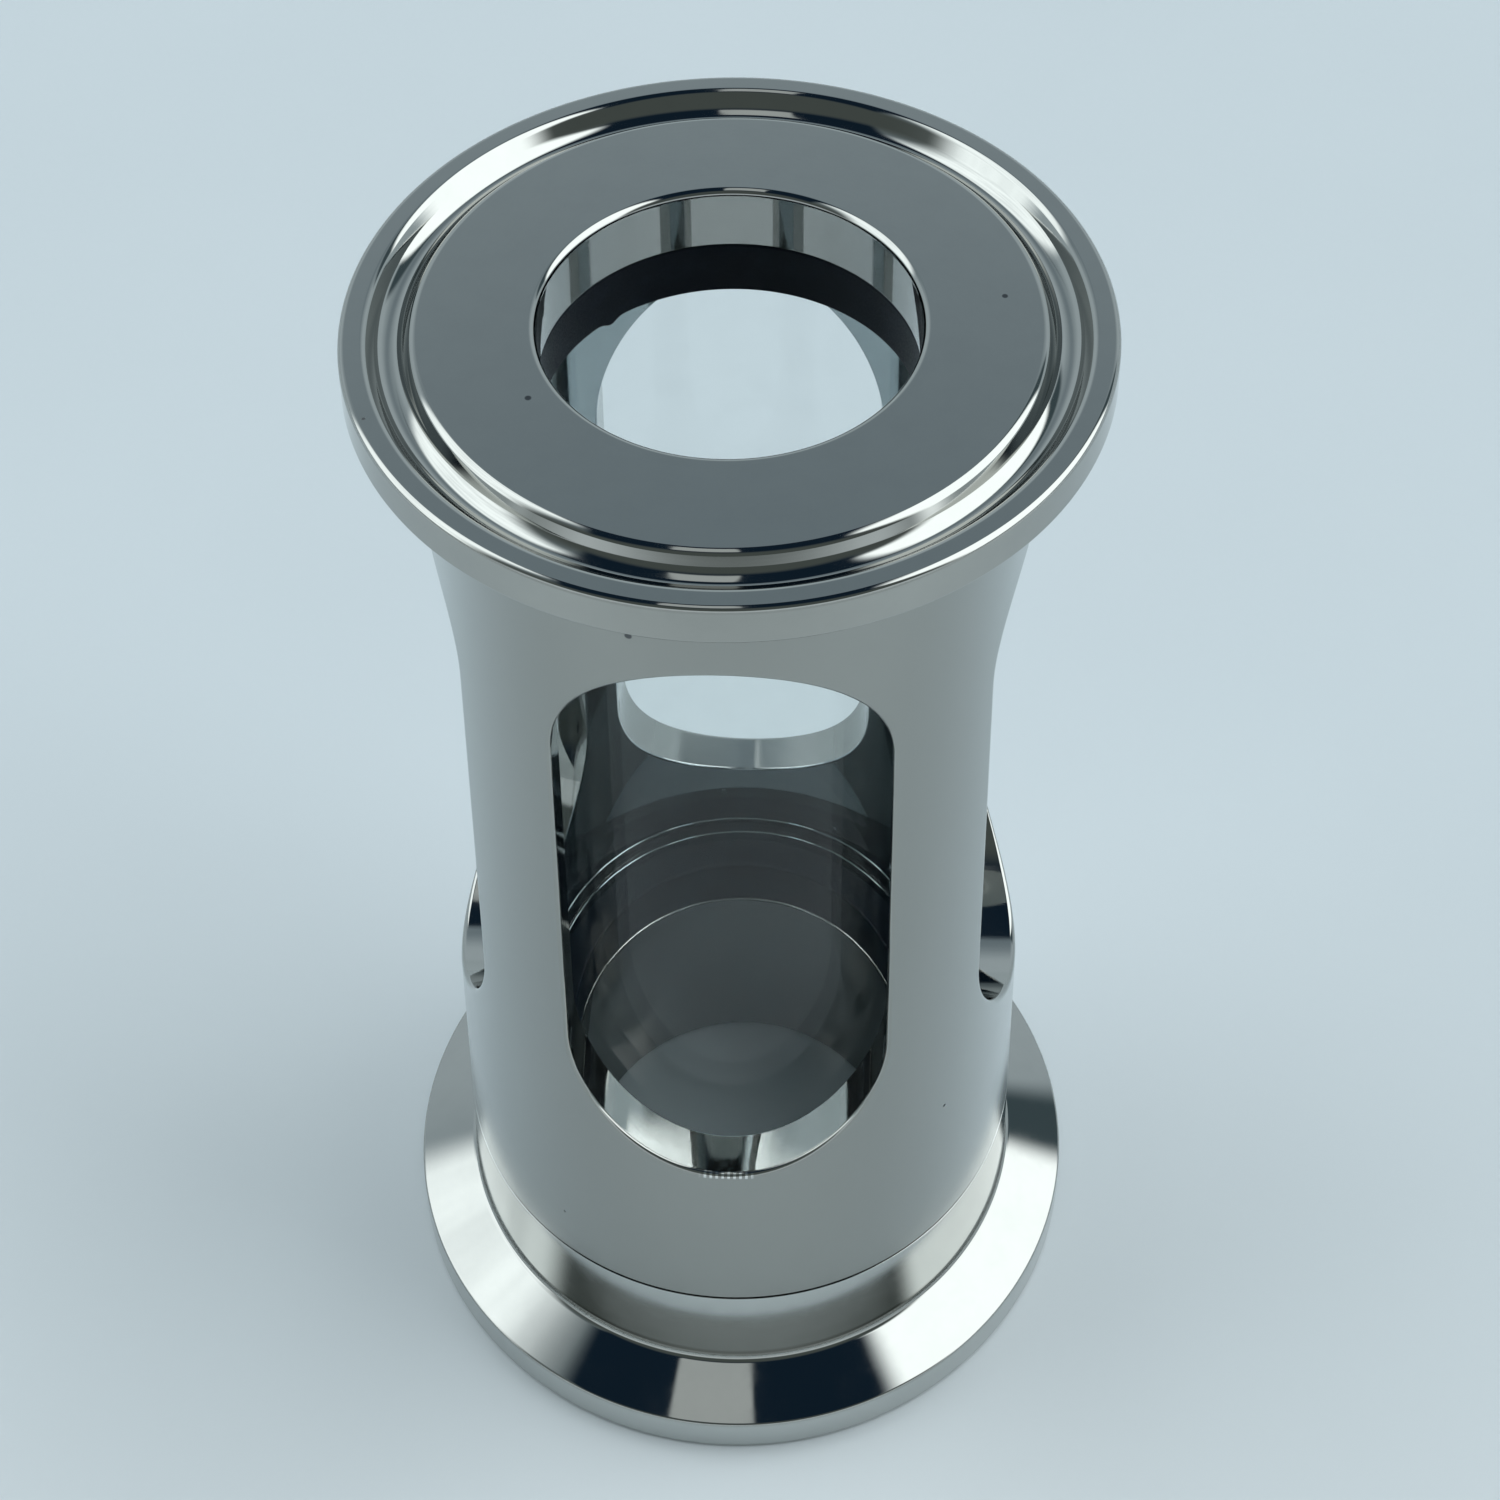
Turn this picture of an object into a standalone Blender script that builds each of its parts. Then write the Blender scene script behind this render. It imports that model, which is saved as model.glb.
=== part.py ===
"""A tubular sight glass with clamp ferrules.

A windowed guard, turned in one piece with its upper ferrule, holds a glass tube between two
flat gaskets. The lower ferrule screws up into the guard and clamps the stack. The pipe axis is
Z, the lower clamp face lies at Z = 0, and the windows face +X, -X, +Y and -Y.
"""

import math

import bmesh
import bpy

MM = 0.001

# Clamp ferrule ends, the same on both ends.
OVERALL_LENGTH = 89.4 * MM
FLANGE_RADIUS = 25.25 * MM
RIM_THICKNESS = 2.85 * MM
BACK_SLOPE = math.radians(20)
BORE_RADIUS = 12.55 * MM
BORE_CHAMFER = 0.5 * MM
GROOVE_PITCH_RADIUS = 21.8 * MM
GROOVE_ARC_RADIUS = 1.65 * MM
GROOVE_DEPTH = 1.3 * MM
EDGE_BREAK = 0.15 * MM

# Guard and its windows.
BODY_RADIUS = 20.85 * MM
GUARD_END_Z = 12.25 * MM
NECK_FILLET = 0.6 * MM
GLASS_BORE_RADIUS = 17.5 * MM
TOP_LIP_THICKNESS = 4.8 * MM
WINDOW_WIDTH = 22.0 * MM
WINDOW_BOTTOM_Z = 27.1 * MM
WINDOW_TOP_Z = 78.6 * MM

# Glass and gaskets.
GLASS_RADIUS = 17.0 * MM
GLASS_WALL = 2.0 * MM
GLASS_LENGTH = 60.0 * MM
GLASS_EDGE_BREAK = 0.3 * MM
GASKET_RADIUS = 17.2 * MM
GASKET_BORE_RADIUS = 12.6 * MM
GASKET_THICKNESS = 4.0 * MM
FACE_GAP = 0.1 * MM

# Screw thread between the guard and the lower ferrule: right-handed, 39 mm by 2 mm.
PITCH = 2.0 * MM
MALE_CREST_RADIUS = 19.3 * MM
MALE_ROOT_RADIUS = 18.45 * MM
MALE_CREST_HALF = 0.2 * MM
FEMALE_ROOT_RADIUS = 19.6 * MM
FEMALE_MINOR_RADIUS = 18.75 * MM
FLANK_SLOPE = math.tan(math.radians(30))
FLANK_GAP = 0.23 * MM
MALE_THREAD_Z = (14.0 * MM, 18.5 * MM)
FEMALE_THREAD_Z = (10.5 * MM, 19.5 * MM)
SPIGOT_TOP_Z = 19.6 * MM
THREAD_LEDGE_Z = 19.9 * MM
THREAD_RELIEF_RADIUS = 18.2 * MM
THREAD_RELIEF_LENGTH = 0.95 * MM
SPIGOT_CHAMFER = 0.35 * MM
SEAT_RADIUS = 17.45 * MM

# Fineness of the curved surfaces.
TURN_STEPS = 64
GROOVE_STEPS = 6
FILLET_STEPS = 2
WINDOW_ARC_STEPS = 16

# Heights that follow from the sizes above, from the top down.
LIP_Z = OVERALL_LENGTH - TOP_LIP_THICKNESS
UPPER_GASKET_Z = LIP_Z - FACE_GAP - GASKET_THICKNESS
GLASS_Z = UPPER_GASKET_Z - FACE_GAP - GLASS_LENGTH
LOWER_GASKET_Z = GLASS_Z - FACE_GAP - GASKET_THICKNESS
SEAT_Z = LOWER_GASKET_Z - FACE_GAP
SHOULDER_Z = GUARD_END_Z - FACE_GAP


def clear_scene():
    for obj in list(bpy.data.objects):
        bpy.data.objects.remove(obj, do_unlink=True)


def new_collection(name):
    collection = bpy.data.collections.new(name)
    bpy.context.scene.collection.children.link(collection)
    return collection


def make_material(name, color, roughness, metallic, transmission=0.0):
    material = bpy.data.materials.new(name)
    material.use_nodes = True
    shader = material.node_tree.nodes["Principled BSDF"]
    shader.inputs["Base Color"].default_value = (*color, 1.0)
    shader.inputs["Roughness"].default_value = roughness
    shader.inputs["Metallic"].default_value = metallic
    shader.inputs["Transmission Weight"].default_value = transmission
    material.diffuse_color = (*color, 1.0)
    return material


def arc(center, radius, start_deg, end_deg, steps):
    """Points (radius, z) along an arc, both ends included."""
    points = []
    for i in range(steps + 1):
        angle = math.radians(start_deg + (end_deg - start_deg) * i / steps)
        points.append((center[0] + radius * math.cos(angle), center[1] + radius * math.sin(angle)))
    return points


def seal_groove(face_z, direction):
    """The round-bottomed seal groove across a clamp face, from its inner edge outward.

    direction is +1 for a face that looks up and -1 for one that looks down.
    """
    rise = GROOVE_ARC_RADIUS - GROOVE_DEPTH
    edge_deg = math.degrees(math.asin(rise / GROOVE_ARC_RADIUS))
    center = (GROOVE_PITCH_RADIUS, rise)
    section = arc(center, GROOVE_ARC_RADIUS, 180 + edge_deg, 360 - edge_deg, GROOVE_STEPS)
    return [(radius, face_z + direction * height) for radius, height in section]


def flange_back(face_z, direction):
    """The rim, the sloping back and the fillet into the neck, from the clamp face inward.

    direction is +1 for a face that looks up and -1 for one that looks down.
    """
    points = [
        (FLANGE_RADIUS - EDGE_BREAK, 0.0),
        (FLANGE_RADIUS, EDGE_BREAK),
        (FLANGE_RADIUS, RIM_THICKNESS),
    ]
    turn = math.degrees(math.pi / 2 - BACK_SLOPE)
    reach = NECK_FILLET * math.tan(math.radians(turn) / 2)
    corner = RIM_THICKNESS + (FLANGE_RADIUS - BODY_RADIUS) * math.tan(BACK_SLOPE)
    center = (BODY_RADIUS + NECK_FILLET, corner + reach)
    points += arc(center, NECK_FILLET, 180 + turn, 180, FILLET_STEPS)
    return [(radius, face_z - direction * depth) for radius, depth in points]


def turned(name, profile, material, collection):
    """Turns a closed profile of (radius, z) points about Z.

    The profile runs outward along the top, down the outside and back up the inside.
    """
    mesh = bpy.data.meshes.new(name)
    count = len(profile)
    corners = [(radius, 0.0, z) for radius, z in profile]
    mesh.from_pydata(corners, [(i, (i + 1) % count) for i in range(count)], [])
    obj = bpy.data.objects.new(name, mesh)
    mesh.materials.append(material)
    collection.objects.link(obj)
    screw = obj.modifiers.new("Turn", "SCREW")
    screw.axis = "Z"
    screw.angle = math.tau
    screw.steps = TURN_STEPS
    screw.render_steps = TURN_STEPS
    screw.use_smooth_shade = True
    return obj


def helical_ridge(name, section, z_range, collection):
    """A helper solid: a section of (radius, z offset) points swept up a right-hand helix.

    Its steps fall half-way between the corners of the turned surfaces, clear of their edges.
    """
    turns = (z_range[1] - z_range[0]) / PITCH
    steps = round(turns * TURN_STEPS)
    start = math.tau * (z_range[0] / PITCH + 0.5 / TURN_STEPS)
    work = bmesh.new()
    corners = [
        work.verts.new((r * math.cos(start), r * math.sin(start), z_range[0] + dz)) for r, dz in section
    ]
    face = work.faces.new(corners)
    bmesh.ops.spin(
        work,
        geom=[face, *face.edges, *face.verts],
        cent=(0.0, 0.0, 0.0),
        axis=(0.0, 0.0, 1.0),
        dvec=(0.0, 0.0, (z_range[1] - z_range[0]) / steps),
        angle=math.tau * turns,
        steps=steps,
        use_duplicate=False,
    )
    bmesh.ops.recalc_face_normals(work, faces=work.faces)
    return helper_object(name, work, collection)


def helper_object(name, work, collection):
    """Links a helper built in bmesh to the scene, out of sight."""
    mesh = bpy.data.meshes.new(name)
    work.to_mesh(mesh)
    work.free()
    obj = bpy.data.objects.new(name, mesh)
    collection.objects.link(obj)
    obj.hide_render = True
    obj.display_type = "WIRE"
    return obj


def window_cutter(name, spin_z, collection):
    """A straight slot with round ends that crosses the guard and opens two windows."""
    half = WINDOW_WIDTH / 2
    outline = arc((0.0, WINDOW_TOP_Z - half), half, 0, 180, WINDOW_ARC_STEPS)
    outline += arc((0.0, WINDOW_BOTTOM_Z + half), half, 180, 360, WINDOW_ARC_STEPS)
    curve = bpy.data.curves.new(name, "CURVE")
    curve.dimensions = "2D"
    curve.fill_mode = "BOTH"
    curve.extrude = 1.2 * BODY_RADIUS
    spline = curve.splines.new("POLY")
    spline.points.add(len(outline) - 1)
    for point, (x, y) in zip(spline.points, outline):
        point.co = (x, y, 0.0, 1.0)
    spline.use_cyclic_u = True
    flat = bpy.data.objects.new(name, curve)
    collection.objects.link(flat)
    flat.rotation_euler = (math.pi / 2, 0.0, spin_z)
    bpy.context.view_layer.update()
    solid = flat.evaluated_get(bpy.context.evaluated_depsgraph_get())
    work = bmesh.new()
    work.from_mesh(bpy.data.meshes.new_from_object(solid))
    work.transform(flat.matrix_world)
    bmesh.ops.remove_doubles(work, verts=work.verts, dist=0.01 * MM)
    bmesh.ops.recalc_face_normals(work, faces=work.faces)
    bpy.data.objects.remove(flat, do_unlink=True)
    return helper_object(name, work, collection)


def apply_boolean(obj, helper, operation):
    boolean = obj.modifiers.new(helper.name, "BOOLEAN")
    boolean.operation = operation
    boolean.solver = "EXACT"
    boolean.object = helper


def guard_body(material, parts, cutters):
    """The windowed guard with the upper clamp ferrule, the glass bore and the female thread."""
    top = OVERALL_LENGTH
    mouth = FEMALE_ROOT_RADIUS + EDGE_BREAK
    profile = [(BORE_RADIUS + BORE_CHAMFER, top)]
    profile += seal_groove(top, 1)
    profile += flange_back(top, 1)
    profile += [
        (BODY_RADIUS, GUARD_END_Z + EDGE_BREAK),
        (BODY_RADIUS - EDGE_BREAK, GUARD_END_Z),
        (mouth, GUARD_END_Z),
        (FEMALE_MINOR_RADIUS, GUARD_END_Z + mouth - FEMALE_MINOR_RADIUS),
        (FEMALE_MINOR_RADIUS, THREAD_LEDGE_Z),
        (GLASS_BORE_RADIUS, THREAD_LEDGE_Z),
        (GLASS_BORE_RADIUS, LIP_Z),
        (BORE_RADIUS, LIP_Z),
        (BORE_RADIUS, top - BORE_CHAMFER),
    ]
    guard = turned("guard_body", profile, material, parts)
    for side, spin_z in (("front", 0.0), ("side", math.pi / 2)):
        cutter = window_cutter(f"cut_{side}_windows", spin_z, cutters)
        apply_boolean(guard, cutter, "DIFFERENCE")
    base = FEMALE_MINOR_RADIUS - 0.35 * MM
    half_root = MALE_CREST_HALF + FLANK_GAP + (MALE_CREST_RADIUS - FEMALE_ROOT_RADIUS) * FLANK_SLOPE
    half_base = MALE_CREST_HALF + FLANK_GAP + (MALE_CREST_RADIUS - base) * FLANK_SLOPE
    section = [
        (base, -half_base),
        (FEMALE_ROOT_RADIUS, -half_root),
        (FEMALE_ROOT_RADIUS, half_root),
        (base, half_base),
    ]
    thread = helical_ridge("cut_female_thread", section, FEMALE_THREAD_Z, cutters)
    apply_boolean(guard, thread, "DIFFERENCE")
    return guard


def lower_ferrule(material, parts, cutters):
    """The lower clamp ferrule with its gasket seat and the male thread on its spigot."""
    profile = [
        (SEAT_RADIUS, SPIGOT_TOP_Z),
        (MALE_ROOT_RADIUS - SPIGOT_CHAMFER, SPIGOT_TOP_Z),
        (MALE_ROOT_RADIUS, SPIGOT_TOP_Z - SPIGOT_CHAMFER),
        (MALE_ROOT_RADIUS, SHOULDER_Z + THREAD_RELIEF_LENGTH + MALE_ROOT_RADIUS - THREAD_RELIEF_RADIUS),
        (THREAD_RELIEF_RADIUS, SHOULDER_Z + THREAD_RELIEF_LENGTH),
        (THREAD_RELIEF_RADIUS, SHOULDER_Z),
        (BODY_RADIUS - EDGE_BREAK, SHOULDER_Z),
        (BODY_RADIUS, SHOULDER_Z - EDGE_BREAK),
    ]
    profile += reversed(flange_back(0.0, -1))
    profile += reversed(seal_groove(0.0, -1))
    profile += [
        (BORE_RADIUS + BORE_CHAMFER, 0.0),
        (BORE_RADIUS, BORE_CHAMFER),
        (BORE_RADIUS, SEAT_Z),
        (SEAT_RADIUS, SEAT_Z),
    ]
    ferrule = turned("lower_ferrule", profile, material, parts)
    base = MALE_ROOT_RADIUS - 0.3 * MM
    half_base = MALE_CREST_HALF + (MALE_CREST_RADIUS - base) * FLANK_SLOPE
    section = [
        (base, -half_base),
        (MALE_CREST_RADIUS, -MALE_CREST_HALF),
        (MALE_CREST_RADIUS, MALE_CREST_HALF),
        (base, half_base),
    ]
    thread = helical_ridge("join_male_thread", section, MALE_THREAD_Z, cutters)
    apply_boolean(ferrule, thread, "UNION")
    return ferrule


def glass_tube(material, parts):
    """The straight glass tube, with its four end edges ground at 45 degrees."""
    inner = GLASS_RADIUS - GLASS_WALL
    top = GLASS_Z + GLASS_LENGTH
    profile = [
        (inner + GLASS_EDGE_BREAK, top),
        (GLASS_RADIUS - GLASS_EDGE_BREAK, top),
        (GLASS_RADIUS, top - GLASS_EDGE_BREAK),
        (GLASS_RADIUS, GLASS_Z + GLASS_EDGE_BREAK),
        (GLASS_RADIUS - GLASS_EDGE_BREAK, GLASS_Z),
        (inner + GLASS_EDGE_BREAK, GLASS_Z),
        (inner, GLASS_Z + GLASS_EDGE_BREAK),
        (inner, top - GLASS_EDGE_BREAK),
    ]
    return turned("glass_tube", profile, material, parts)


def gasket(name, low, material, parts):
    """A flat ring cut from sheet, flush with the bores of both ferrules."""
    top = low + GASKET_THICKNESS
    profile = [
        (GASKET_BORE_RADIUS, top),
        (GASKET_RADIUS, top),
        (GASKET_RADIUS, low),
        (GASKET_BORE_RADIUS, low),
    ]
    return turned(name, profile, material, parts)


def build():
    clear_scene()
    parts = new_collection("sight_glass")
    cutters = new_collection("sight_glass_helpers")
    steel = make_material("polished_steel", (0.62, 0.64, 0.65), 0.12, 1.0)
    glass = make_material("borosilicate_glass", (0.93, 0.97, 0.96), 0.02, 0.0, 1.0)
    rubber = make_material("black_rubber", (0.015, 0.018, 0.024), 0.55, 0.0)
    guard_body(steel, parts, cutters)
    gasket("upper_gasket", UPPER_GASKET_Z, rubber, parts)
    glass_tube(glass, parts)
    gasket("lower_gasket", LOWER_GASKET_Z, rubber, parts)
    lower_ferrule(steel, parts, cutters)


build()
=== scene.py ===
import math

import bpy
import numpy as np
from mathutils import Matrix, Vector


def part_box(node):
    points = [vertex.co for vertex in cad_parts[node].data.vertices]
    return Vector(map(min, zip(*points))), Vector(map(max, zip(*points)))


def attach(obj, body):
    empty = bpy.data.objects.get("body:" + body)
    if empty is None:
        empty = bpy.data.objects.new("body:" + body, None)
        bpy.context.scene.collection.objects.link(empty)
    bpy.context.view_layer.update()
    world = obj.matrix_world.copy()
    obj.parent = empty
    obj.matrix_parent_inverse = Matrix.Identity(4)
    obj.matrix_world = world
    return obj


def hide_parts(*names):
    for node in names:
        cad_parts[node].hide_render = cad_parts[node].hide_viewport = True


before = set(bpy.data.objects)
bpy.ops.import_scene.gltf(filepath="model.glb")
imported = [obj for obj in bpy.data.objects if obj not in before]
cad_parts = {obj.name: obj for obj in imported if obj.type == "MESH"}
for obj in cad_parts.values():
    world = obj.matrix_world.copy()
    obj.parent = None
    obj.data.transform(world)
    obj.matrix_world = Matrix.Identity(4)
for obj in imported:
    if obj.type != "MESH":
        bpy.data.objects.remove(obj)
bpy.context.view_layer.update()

MM = 0.001

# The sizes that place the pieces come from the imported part, in millimetres here.
guard_low, guard_high = (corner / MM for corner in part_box("guard_body"))
glass_low, glass_high = (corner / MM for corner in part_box("glass_tube"))
upper_low, upper_high = (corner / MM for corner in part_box("upper_gasket"))
lower_low, lower_high = (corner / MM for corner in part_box("lower_gasket"))

TOP_Z = guard_high.z
JOINT_Z = guard_low.z
CLAMP_RADIUS = guard_high.x
SPIGOT_TOP_Z = (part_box("lower_ferrule")[1] / MM).z
GLASS_RADIUS = glass_high.x
GASKET_RADIUS = upper_high.x

# Sizes of the turned pieces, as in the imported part, and the roundings of their edges.
RIM_THICKNESS = 2.85
BACK_SLOPE = math.tan(math.radians(20))
BODY_RADIUS = 20.85
GLASS_BORE_RADIUS = 17.5
FLOW_BORE_RADIUS = 12.55
LIP_THICKNESS = 4.8
NECK_FILLET = 0.6
LEDGE_Z = SPIGOT_TOP_Z + 0.3
EDGE = 0.15
FINE_EDGE = 0.03
JOINT_EDGE = 0.05
RIM_EDGE = 0.4
RIM_BACK_EDGE = 0.25
BORE_EDGE = 0.5

# Where the ferrule meets the guard: a narrow step that shows as the joint line.
SHOULDER_Z = JOINT_Z - 0.1
STEP_DEPTH = 0.12
STEP_RADIUS = BODY_RADIUS - 0.6

# The seal groove: straight walls between a small bottom arc and two rounded edges.
GROOVE_PITCH_RADIUS = 22.05
GROOVE_HALF_WIDTH = 1.8
GROOVE_ARC_RADIUS = 1.15
GROOVE_DEPTH = 1.3
GROOVE_INNER_EDGE = 0.6
GROOVE_OUTER_EDGE = 0.55

# The windows, and the heights between which the guard is meshed as four window quarters.
WINDOW_HALF_WIDTH = 11.0
WINDOW_BOTTOM_Z = 27.1
WINDOW_TOP_Z = 78.6
WINDOW_EDGE = 0.4
WINDOW_INNER_EDGE = 0.15
CAGE_BOTTOM_Z = 24.0
CAGE_TOP_Z = 80.2

# The screw thread.
PITCH = 2.0
THREAD_HEIGHT = 0.85
THREAD_FLANK = math.tan(math.radians(30))
THREAD_CHAMFER = 0.35
MALE_ROOT_RADIUS = 18.45
MALE_CREST = 0.4
MALE_THREAD_Z = (SHOULDER_Z + 1.85, SPIGOT_TOP_Z - 1.1)
FEMALE_MINOR_RADIUS = 18.75
FEMALE_CREST = 0.86
FEMALE_THREAD_Z = (JOINT_Z + 0.5, SPIGOT_TOP_Z - 0.1)

# The glass and the gaskets, and the lump of rubber on the upper gasket.
GLASS_WALL = 2.0
GLASS_OUTER_EDGE = 0.18
GLASS_INNER_EDGE = 0.06
GASKET_BORE_RADIUS = FLOW_BORE_RADIUS + 0.05
GASKET_SWELL = 0.08
GASKET_EDGE = 0.2
LUMP_DEGREES = 133
LUMP_SPREAD = 2.6
LUMP_HEIGHT = 0.45
LUMP_RADIUS = 13.0

# Fineness of the curved surfaces.
STEPS = 256
SIDE_STEPS = 72
ARC_STEP = math.radians(12)
GROOVE_ARC_STEP = math.radians(6)

STEEL, CUT = 0, 1


def unit(vector):
    return vector / np.linalg.norm(vector, axis=-1, keepdims=True)


def rotated(points, angle):
    """Points or directions turned about the vertical axis."""
    c, s = math.cos(angle), math.sin(angle)
    return points @ np.array(((c, s, 0), (-s, c, 0), (0, 0, 1)))


class Shell:
    """Sheets of quads with exact normals, welded into one closed mesh."""

    def __init__(self):
        self.points = []
        self.normals = []
        self.faces = []
        self.kinds = []
        self.count = 0

    def sheet(self, points, normals, kinds=None, closed=True):
        """Adds a grid of rows and columns; the columns join up into a ring when it is closed."""
        rows, columns = points.shape[:2]
        index = np.arange(rows * columns).reshape(rows, columns) + self.count
        beyond = np.roll(index, -1, axis=1)
        if not closed:
            index, beyond = index[:, :-1], index[:, 1:]
        quads = np.stack((index[:-1], beyond[:-1], beyond[1:], index[1:]), axis=-1)
        if kinds is None:
            kinds = np.full(rows - 1, STEEL)
        self.faces.append(quads.reshape(-1, 4))
        self.kinds.append(np.repeat(kinds, quads.shape[1]))
        self.points.append(points.reshape(-1, 3))
        self.normals.append(normals.reshape(-1, 3))
        self.count += rows * columns

    def turned(self, corners):
        """Turns an outline of (radius, height, rounding) corners about the axis."""
        self.swept_round(*outline(corners))

    def swept_round(self, profile, normals):
        """Turns profile points and their normals about the axis."""
        angles = np.arange(STEPS) * math.tau / STEPS
        around = np.stack((np.cos(angles), np.sin(angles)), axis=-1)
        self.sheet(swept(profile, around), swept(normals, around))

    def build(self, name, materials):
        """The welded mesh as an object."""
        points = np.concatenate(self.points)
        _, first, index = np.unique(
            np.round(points * 1e4).astype(np.int64), axis=0, return_index=True, return_inverse=True
        )
        index = index.reshape(-1)
        normals = np.zeros((len(first), 3))
        np.add.at(normals, index, np.concatenate(self.normals))
        faces = []
        kinds = []
        for face, kind in zip(index[np.concatenate(self.faces)].tolist(), np.concatenate(self.kinds)):
            corners = [v for i, v in enumerate(face) if v != face[i - 1]]
            if len(set(corners)) > 2:
                faces.append(corners)
                kinds.append(kind)
        mesh = bpy.data.meshes.new(name)
        mesh.from_pydata((points[first] * MM).tolist(), [], faces)
        mesh.polygons.foreach_set("material_index", kinds)
        mesh.polygons.foreach_set("use_smooth", [True] * len(faces))
        mesh.validate()
        mesh.normals_split_custom_set_from_vertices(unit(normals).tolist())
        for material in materials:
            mesh.materials.append(material)
        made = bpy.data.objects.new(name, mesh)
        bpy.context.scene.collection.objects.link(made)
        return made


def swept(profile, around):
    """A profile of (radius, height) pairs carried round unit circle directions."""
    flat = profile[:, None, :1] * around[None]
    height = np.broadcast_to(profile[:, None, 1:], flat.shape[:2] + (1,))
    return np.concatenate((flat, height), axis=-1)


def outline(corners):
    """Points and outward normals along corners that are each rounded by their third number."""
    corners = [np.array(corner, float) for corner in corners]
    points = []
    normals = []
    last = len(corners) - 1
    for i, corner in enumerate(corners):
        here = corner[:2]
        along = unit(here - corners[i - 1][:2]) if i else unit(corners[1][:2] - here)
        ahead = unit(corners[i + 1][:2] - here) if i < last else along
        cross = along[0] * ahead[1] - along[1] * ahead[0]
        turn = math.atan2(cross, float(along @ ahead))
        rounding = corner[2] if len(corner) > 2 else 0.0
        side = math.copysign(1.0, turn)
        outward = np.array((along[1], -along[0]))
        centre = here - along * rounding * math.tan(abs(turn) / 2) - side * rounding * outward
        steps = max(1, math.ceil(abs(turn) / ARC_STEP)) if 0 < i < last else 0
        for step in range(steps + 1):
            angle = turn * step / max(steps, 1)
            c, s = math.cos(angle), math.sin(angle)
            normal = np.array((c * outward[0] - s * outward[1], s * outward[0] + c * outward[1]))
            points.append(centre + side * rounding * normal)
            normals.append(normal)
    return np.array(points), np.array(normals)


def seal_groove(face_z, side):
    """Points and normals across the rounded seal groove in a clamp face, from its outer edge inwards."""

    def lean(edge):
        total = GROOVE_ARC_RADIUS + edge
        spare = total - GROOVE_DEPTH
        across = math.hypot(GROOVE_HALF_WIDTH, spare)
        return math.asin(total / across) - math.atan2(spare, GROOVE_HALF_WIDTH)

    def arc(radius, height, size, first, last):
        count = max(2, math.ceil(abs(last - first) / GROOVE_ARC_STEP) + 1)
        angles = np.linspace(first, last, count)
        facing = np.stack((np.sin(angles), np.cos(angles)), axis=-1)
        return np.array((radius, height)) + size * facing, facing

    outer, inner = GROOVE_OUTER_EDGE, GROOVE_INNER_EDGE
    parts = (
        arc(GROOVE_PITCH_RADIUS + GROOVE_HALF_WIDTH, -outer, outer, 0, -lean(outer)),
        arc(
            GROOVE_PITCH_RADIUS,
            GROOVE_ARC_RADIUS - GROOVE_DEPTH,
            -GROOVE_ARC_RADIUS,
            -lean(outer),
            lean(inner),
        ),
        arc(GROOVE_PITCH_RADIUS - GROOVE_HALF_WIDTH, -inner, inner, lean(inner), 0),
    )
    points = np.concatenate([part[0] for part in parts]) * (1, side) + (0, face_z)
    normals = np.concatenate([part[1] for part in parts]) * (1, side)
    return (points, normals) if side > 0 else (points[::-1], normals[::-1])


def thread_band(shell, base, crest, low, high, inside):
    """A helical thread between two heights on a cylinder, run out at 45 degrees at both ends."""
    flank = THREAD_HEIGHT * THREAD_FLANK
    flat, lower, upper = (1.0, 0.0), (THREAD_FLANK, -1.0), (THREAD_FLANK, 1.0)
    # Each mark: its height in the pitch, its share of the thread's height, how far its edge is
    # eased, and the directions faced before and after it.
    marks = (
        (-crest / 2 - flank, 0.0, 0.04, flat, lower),
        (-crest / 2, 1.0, 0.03, lower, flat),
        (crest / 2, 1.0, 0.03, flat, upper),
        (crest / 2 + flank, 0.0, 0.04, upper, flat),
    )
    rows = []
    for offset, share, ease, first, second in marks:
        rows.append((offset - ease, share, first))
        rows.append((offset + ease, share, second))
    angles = np.arange(STEPS + 1) * math.tau / STEPS
    points = []
    normals = []
    turns = range(int(low / PITCH) - 2, int(high / PITCH) + 2)
    for turn in turns:
        for offset, share, (out, up) in rows:
            z = np.clip(PITCH * (turn + angles / math.tau) + offset, low, high)
            rise = np.minimum(share * THREAD_HEIGHT, np.minimum(z - low, high - z))
            radius = base + rise
            points.append(np.stack((radius * np.cos(angles), radius * np.sin(angles), z), axis=-1))
            out, up = unit(np.array((out, up)))
            lift = np.full(len(angles), up)
            normals.append(np.stack((out * np.cos(angles), out * np.sin(angles), lift), axis=-1))
    points = np.array(points)
    normals = np.array(normals)
    if inside:
        points = points[::-1]
        normals = -normals[::-1]
    shell.sheet(points, normals, closed=False)


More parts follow.
